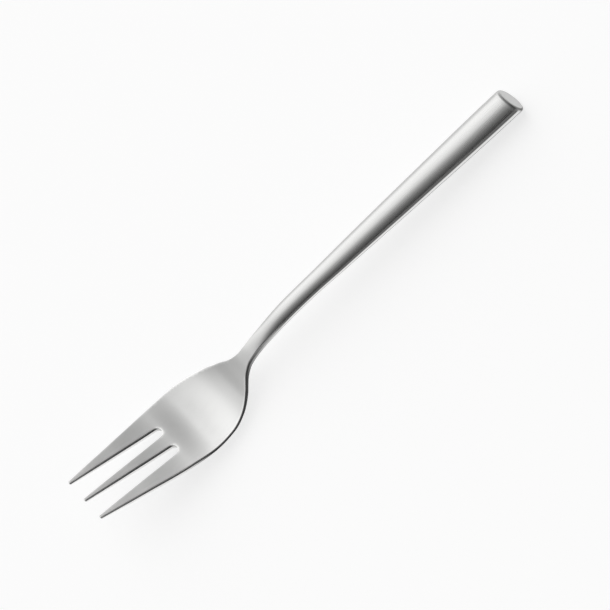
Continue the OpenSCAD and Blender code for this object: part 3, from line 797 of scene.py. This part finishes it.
def shell_tree(finish):
    """Half a hollow handle: from a line of points, each with the handle's half width, half thickness, fall
    and lean there, an outer and an inner skin are set out by angle."""
    tree = bpy.data.node_groups.new("half_shell_of_handle", "GeometryNodeTree")
    face = tree.interface
    face.new_socket(name="Line", in_out="INPUT", socket_type="NodeSocketGeometry")
    for name, kind, default in (
            ("Start Angle", "Float", 0.0), ("Sweep Angle", "Float", pi), ("Wall", "Float", 0.7 * MM),
            ("Stations", "Int", STATIONS), ("Round Steps", "Int", SHELL_STEPS)):
        face.new_socket(name=name, in_out="INPUT", socket_type="NodeSocket" + kind).default_value = default
    face.new_socket(name="Shell", in_out="OUTPUT", socket_type="NodeSocketGeometry")
    given = node(tree, "NodeGroupInput").outputs

    # each point of a grid belongs to a station of the line, its row, and a turn round it
    index = node(tree, "GeometryNodeInputIndex")
    around = node(tree, "ShaderNodeMath", {0: given["Round Steps"], 1: 1}, operation="ADD")
    row = node(tree, "ShaderNodeMath", {0: index, 1: around}, operation="DIVIDE")
    row = node(tree, "ShaderNodeMath", {0: row}, operation="FLOOR")
    turn = node(tree, "ShaderNodeMath", {0: index, 1: around}, operation="MODULO")
    turn = node(tree, "ShaderNodeMath", {0: turn, 1: given["Round Steps"]}, operation="DIVIDE")
    turn = node(tree, "ShaderNodeMath", {0: given["Sweep Angle"], 1: turn}, operation="MULTIPLY")
    turn = node(tree, "ShaderNodeMath", {0: given["Start Angle"], 1: turn}, operation="ADD")
    across = node(tree, "ShaderNodeMath", {0: turn}, operation="COSINE")
    upward = node(tree, "ShaderNodeMath", {0: turn}, operation="SINE")
    there = {}
    for name in ("position", "half_width", "half_thickness", "fall", "lean"):
        kind = "FLOAT_VECTOR" if name == "position" else "FLOAT"
        wanted = node(tree, "GeometryNodeInputNamedAttribute", {"Name": name}, data_type=kind)
        there[name] = node(tree, "GeometryNodeSampleIndex",
                           {"Geometry": given["Line"], "Value": wanted, "Index": row}, data_type=kind)
    # the painted light along the weld of each side: a painted bright reflection between painted darker
    # borders
    seam = node(tree, "ShaderNodeMath", {0: across}, operation="ABSOLUTE")
    seam = read_off(tree, seam, [(at, (tone + 1) / 2) for at, tone in SEAM_PAINTED_LIGHT])
    seam = node(tree, "ShaderNodeMath", {0: seam, 1: 2.0, 2: -1.0}, operation="MULTIPLY_ADD")

    skins = []
    for wall in (0.0, given["Wall"]):
        grid = node(tree, "GeometryNodeMeshGrid", {"Vertices X": given["Stations"], "Vertices Y": around})
        wide = node(tree, "ShaderNodeMath", {0: there["half_width"], 1: wall}, operation="SUBTRACT")
        side = node(tree, "ShaderNodeMath", {0: wide, 1: across}, operation="MULTIPLY")
        tall = node(tree, "ShaderNodeMath", {0: there["half_thickness"], 1: wall}, operation="SUBTRACT")
        rise = node(tree, "ShaderNodeMath", {0: tall, 1: upward}, operation="MULTIPLY")
        ahead = node(tree, "ShaderNodeMath", {0: there["lean"], 1: rise}, operation="MULTIPLY")
        drop = node(tree, "ShaderNodeMath", {0: there["fall"], 1: ahead}, operation="MULTIPLY")
        height = node(tree, "ShaderNodeMath", {0: rise, 1: drop}, operation="ADD")
        offset = node(tree, "ShaderNodeCombineXYZ", {"X": ahead, "Y": side, "Z": height})
        place = node(tree, "ShaderNodeVectorMath", {0: there["position"], 1: offset}, operation="ADD")
        moved = node(tree, "GeometryNodeSetPosition", {"Geometry": grid, "Position": place})
        skins.append(node(tree, "GeometryNodeStoreNamedAttribute",
                          {"Geometry": moved, "Name": "edge_tone", "Value": seam}, data_type="FLOAT"))
    # the inner skin turns its faces to the hollow
    turned = node(tree, "GeometryNodeFlipFaces", {"Mesh": skins[1]})
    joined = node(tree, "GeometryNodeJoinGeometry", {0: skins[0]})
    tree.links.new(turned.outputs[0], joined.inputs[0])
    real = node(tree, "GeometryNodeRealizeInstances", {"Geometry": joined})
    dressed = node(tree, "GeometryNodeSetMaterial", {"Geometry": real, "Material": finish})
    node(tree, "NodeGroupOutput", {"Shell": dressed})
    return tree


def handle_line_object(f):
    """The points that the half shells follow, from the seam to the closing plate. The sections lean more and
    more towards the plate's slant over their last millimetres."""
    places = [f.seam_x + (f.plate_x - f.seam_x) * i / (STATIONS - 1) for i in range(STATIONS)]
    falls = [f.spine.slope(x) for x in places]
    mesh = bpy.data.meshes.new("handle_line")
    mesh.from_pydata([f.placed(x, 0, f.spine(x)) for x in places], [], [])
    values = {"half_width": [f.half(x) * MM for x in places],
              "half_thickness": [f.thick(x) / 2 * MM for x in places], "fall": falls,
              "lean": [-f.cut_slope / (1 + f.cut_slope * fall) * eased((x - f.plate_x) / LEAN_REACH + 1)
                       for x, fall in zip(places, falls)]}
    for name, numbers in values.items():
        mesh.attributes.new(name, "FLOAT", "POINT").data.foreach_set("value", numbers)
    return new_object("handle_line", mesh)


def half_shell(f, name, start, finish, cad_node):
    """Makes one half shell, which runs half a turn on from an angle, and hands it over."""
    line = handle_line_object(f)
    modifier = line.modifiers.new("half_shell", "NODES")
    tree = modifier.node_group = shell_tree(finish)
    sockets = {item.name: item.identifier for item in tree.interface.items_tree if item.in_out == "INPUT"}
    for key, value in (("Start Angle", start), ("Sweep Angle", pi), ("Wall", f.shell_wall * MM),
                       ("Stations", STATIONS), ("Round Steps", SHELL_STEPS)):
        modifier[sockets[key]] = value
    bpy.context.view_layer.update()
    mesh = bpy.data.meshes.new_from_object(line.evaluated_get(bpy.context.evaluated_depsgraph_get()))
    mesh.name = name
    bpy.data.objects.remove(line)
    bpy.data.node_groups.remove(tree)
    close_channel(mesh)
    hand_over(name, mesh, finish, [cad_node])


def close_channel(mesh):
    """Joins the outer and the inner skin of a half shell along all four of their edges."""
    bm = bmesh.new()
    bm.from_mesh(mesh)
    bmesh.ops.bridge_loops(bm, edges=[e for e in bm.edges if e.is_boundary])
    bm.to_mesh(mesh)
    bm.free()


class ForkOperator:
    """What the operators of the fork share."""
    bl_options = {"REGISTER", "UNDO"}


class FORK_OT_head(ForkOperator, bpy.types.Operator):
    """Make the head with its tines, bowl, neck and hidden tang"""
    bl_idname = "fork.head"
    bl_label = "Head"

    def execute(self, context):
        f, looks = Form(context.scene.fork_sizes), context.scene.fork_finish
        # Forged head, ground and then satined along the fork: grey-white with soft, wide reflections. Its
        # finish passes to that of the shells over the neck, up to a millimetre before the seam.
        finish = satin_steel("satin_forged_steel", list(looks.head_colour), looks.head_roughness, SATIN_GRAIN,
                             (0.05, 1.0, 1.0),
                             (f.placed(f.head_length, 0, 0).x, f.placed(f.seam_x - 1, 0, 0).x,
                              list(looks.shell_colour), looks.shell_roughness))
        points, faces, tones = head_mesh(f)
        finished("head", points, faces, finish, ["fork_head"], tones=tones)
        points, faces = tang_mesh(f)
        finished("tang", points, faces, finish, [], smooth_within=30)
        return {"FINISHED"}


class FORK_OT_handle(ForkOperator, bpy.types.Operator):
    """Make the two half shells of the hollow handle"""
    bl_idname = "fork.handle"
    bl_label = "Half shells"

    def execute(self, context):
        f, looks = Form(context.scene.fork_sizes), context.scene.fork_finish
        # Stamped shells, belt-satined along the handle after their seams were ground away: long soft streaks.
        finish = satin_steel("satin_stamped_steel", list(looks.shell_colour), looks.shell_roughness,
                             SATIN_GRAIN, (0.04, 1.0, 1.0))
        half_shell(f, "upper_shell", 0.0, finish, "handle_upper_shell")
        half_shell(f, "lower_shell", pi, finish, "handle_lower_shell")
        return {"FINISHED"}


# The rim of the butt plate carries painted shade, darker than its brushed face step by step over its round,
# and most at one turn round it, from the fork's left over its top. The painted light of the side seams runs
# on over the sides of the plate.
PLATE_PAINTED_SHADE = dict(enumerate((0.0, 0.6, 0.8, 0.9, 0.9, 0.8, 0.6, 0.4, 0.2)))
PLATE_SEAM = {6: 0.2, 7: 0.5, 8: 0.8, 9: 1.0, 10: 1.0}
RIM_SHADE_MOST = radians(234)
FACE_SHARES = (0.15, 0.4, 0.65, 0.88)  # rings within the face
PLUG_BEVEL = 0.25  # millimetres off the end of the plug, over the last tenth of its depth


class FORK_OT_butt(ForkOperator, bpy.types.Operator):
    """Make the oblique closing plate with its rounded rim and its plug"""
    bl_idname = "fork.butt"
    bl_label = "Butt plate"

    def execute(self, context):
        f, looks = Form(context.scene.fork_sizes), context.scene.fork_finish
        # Steel plate, face brushed across on a fine wheel, so it shows one flat even grey.
        finish = satin_steel("brushed_plate_steel", list(looks.plate_colour), looks.plate_roughness,
                             PLATE_GRAIN, (1.0, 0.05, 1.0))
        rim = [f.round_ring(a, PLATE_STEPS) for a in quarter(PLATE_RIM_STEPS)]
        side = f.cap_thickness - f.butt_rim_radius
        rim += [f.round_ring(pi / 2, PLATE_STEPS, side * part) for part in (0.5, 1.0)]
        face = [[(0.0, y * s, z * s) for _, y, z in rim[0]] for s in FACE_SHARES]
        rings = [[f.at_face(p) for p in ring] for ring in face + rim]
        slant = f.cut_slope / (1 - f.cut_slope * f.fall)
        # the plug, from the slanting inner face of the plate
        for reach, bevel in ((0.0, 0.0), (f.plug_depth * 0.9, 0.0), (f.plug_depth, PLUG_BEVEL)):
            inset = f.shell_wall + SEAT_CLEARANCE + bevel
            lean = 0 if reach else slant * (f.butt_thickness / 2 - inset)
            start = f.land_x - reach if reach else f.plate_x
            rings.append([f.oval_point(start - lean * sin(a), inset, a) for a in turns(PLATE_STEPS)])
        points = [f.placed(*p) for ring in rings for p in ring]
        # painted shade on the rim, strongest at one turn, and the seams' painted light on the plate's sides
        tones = []
        for k in range(-len(face), len(rings) - len(face)):
            dark, seam = PLATE_PAINTED_SHADE.get(k, 0.0), PLATE_SEAM.get(k, 0.0)
            tones += [dark * (0.5 + 0.5 * cos(a - RIM_SHADE_MOST)) * (1 - seam) + painted_seam_light(a) * seam
                      for a in turns(PLATE_STEPS)]
        finished("butt_plate", points, strips(rings), finish, ["end_cap"], smooth_within=33,
                 tones=tones)
        return {"FINISHED"}


class FORK_OT_cement(ForkOperator, bpy.types.Operator):
    """Dress the cement that fills the front of the handle"""
    bl_idname = "fork.cement"
    bl_label = "Cement"

    def execute(self, context):
        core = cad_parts["cement_core"]
        core.data.materials.clear()
        core.data.materials.append(cement_material(list(context.scene.fork_finish.cement_colour)))
        return {"FINISHED"}


# The room's brightness, as shares of its level: by the angle from overhead, towards the far side, and by the
# part of the direction that runs along the fork.
ROOM_LEVEL = 1.72
FALL_ACROSS = ((-90, 0.04), (-60, 0.085), (-40, 0.15), (-20, 0.275), (-5, 0.46), (8, 0.72), (20, 0.87),
               (35, 0.92), (50, 0.955), (68, 1.0), (80, 0.85), (90, 0.68), (120, 0.7), (180, 0.65))
FALL_ALONG = ((-1, 0.32), (-0.7, 0.48), (-0.5, 0.68), (-0.3, 0.84), (-0.1, 0.94), (0.1, 1.0), (0.2, 1.0),
              (0.3, 0.86), (0.4, 0.47), (0.5, 0.22), (0.6, 0.18), (1, 0.18))
# Metres
FLOOR_REACH, FLOOR_GAP = 3.0, 0.05 * MM
LAMP_PLACE, LAMP_SIZE = (0.0, 0.75, 0.62), (1.2, 0.6)
LOOK_AT_HEIGHT, CLIP_END = 5 * MM, 50.0


class FORK_OT_stage(ForkOperator, bpy.types.Operator):
    """Set up the floor, the soft lamp and the camera"""
    bl_idname = "fork.stage"
    bl_label = "Stage"

    def execute(self, context):
        stage = context.scene.fork_stage
        bpy.context.scene.view_settings.view_transform = "Standard"
        mesh = bpy.data.meshes.new("floor")
        mesh.from_pydata([(x * FLOOR_REACH, y * FLOOR_REACH, LOW[2] - FLOOR_GAP)
                          for x, y in ((-1, -1), (1, -1), (1, 1), (-1, 1))], [], [(0, 1, 2, 3)])
        mesh.materials.append(floor_material(list(stage.floor_colour)))
        floor = new_object("floor", mesh)
        self.world(context)
        # a long softbox past the far side of the fork
        data = bpy.data.lights.new("far_softbox", "AREA")
        data.shape, data.energy = "RECTANGLE", stage.lamp_power
        data.size, data.size_y = LAMP_SIZE
        lamp = new_object("far_softbox", data)
        lamp.location = LAMP_PLACE
        lamp.rotation_euler = (Vector() - lamp.location).to_track_quat("-Z", "Y").to_euler()
        self.camera(context, stage)
        return {"FINISHED"}

    @staticmethod
    def world(context):
        """A plain room that is bright past the far side of the fork and overhead, and falls off evenly to the
        near side and towards both ends."""
        world = bpy.data.worlds.new("plain_room")
        context.scene.world = world
        world.use_nodes = True
        tree = world.node_tree
        tree.nodes.clear()
        way = node(tree, "ShaderNodeTexCoord").outputs["Generated"]
        way = node(tree, "ShaderNodeSeparateXYZ", {0: way}).outputs
        turn = node(tree, "ShaderNodeMath", {0: way["Y"], 1: way["Z"]}, operation="ARCTAN2")
        turn = node(tree, "ShaderNodeMath", {0: turn}, operation="DEGREES")
        around, along = read_off(tree, turn, FALL_ACROSS), read_off(tree, way["X"], FALL_ALONG)
        level = node(tree, "ShaderNodeMath", {0: along, 1: ROOM_LEVEL}, operation="MULTIPLY")
        back = node(tree, "ShaderNodeBackground", {"Color": around, "Strength": level})
        node(tree, "ShaderNodeOutputWorld", {"Surface": back})

    @staticmethod
    def camera(context, stage):
        to_camera = Vector((sin(stage.azimuth) * cos(stage.elevation),
                            -cos(stage.azimuth) * cos(stage.elevation), sin(stage.elevation)))
        along = (Vector((1, 0, 0)) - to_camera * to_camera.x).normalized()
        over = to_camera.cross(along)
        right = cos(stage.roll) * along - sin(stage.roll) * over
        up = sin(stage.roll) * along + cos(stage.roll) * over
        data = bpy.data.cameras.new("camera")
        data.clip_end = CLIP_END
        data.lens = stage.pixels_per_mm * stage.distance / MM * data.sensor_width / stage.picture
        data.shift_x = (stage.picture / 2 - stage.middle[0]) / stage.picture
        data.shift_y = (stage.middle[1] - stage.picture / 2) / stage.picture
        camera = new_object("camera", data)
        turn = Matrix((right, up, to_camera)).transposed().to_4x4()
        target = Vector((0, 0, LOOK_AT_HEIGHT))
        camera.matrix_world = Matrix.Translation(target + to_camera * stage.distance) @ turn
        bpy.context.scene.camera = camera


class FORK_PT_panel(bpy.types.Panel):
    """The fork's pieces, sizes and finishes"""
    bl_idname = "FORK_PT_panel"
    bl_label = "Pastry Fork"
    bl_space_type = "VIEW_3D"
    bl_region_type = "UI"
    bl_category = "Fork"

    def draw(self, context):
        scene = context.scene
        for operator in OPERATORS:
            self.layout.operator(operator.bl_idname)
        for name in GROUPS:
            group, box = getattr(scene, name), self.layout.box()
            for prop in type(group).__annotations__:
                box.prop(group, prop)


GROUPS = {"fork_sizes": ForkSizes, "fork_finish": ForkFinish, "fork_stage": ForkStage}
OPERATORS = (FORK_OT_head, FORK_OT_handle, FORK_OT_butt, FORK_OT_cement, FORK_OT_stage)
CLASSES = tuple(GROUPS.values()) + OPERATORS + (FORK_PT_panel,)


def register():
    for cls in CLASSES:
        bpy.utils.register_class(cls)
    for name, group in GROUPS.items():
        setattr(bpy.types.Scene, name, PointerProperty(type=group))


def unregister():
    for name in GROUPS:
        delattr(bpy.types.Scene, name)
    for cls in reversed(CLASSES):
        bpy.utils.unregister_class(cls)


def main():
    register()
    bpy.ops.fork.head()
    bpy.ops.fork.handle()
    bpy.ops.fork.butt()
    bpy.ops.fork.cement()
    bpy.ops.fork.stage()


if __name__ == "__main__":
    main()
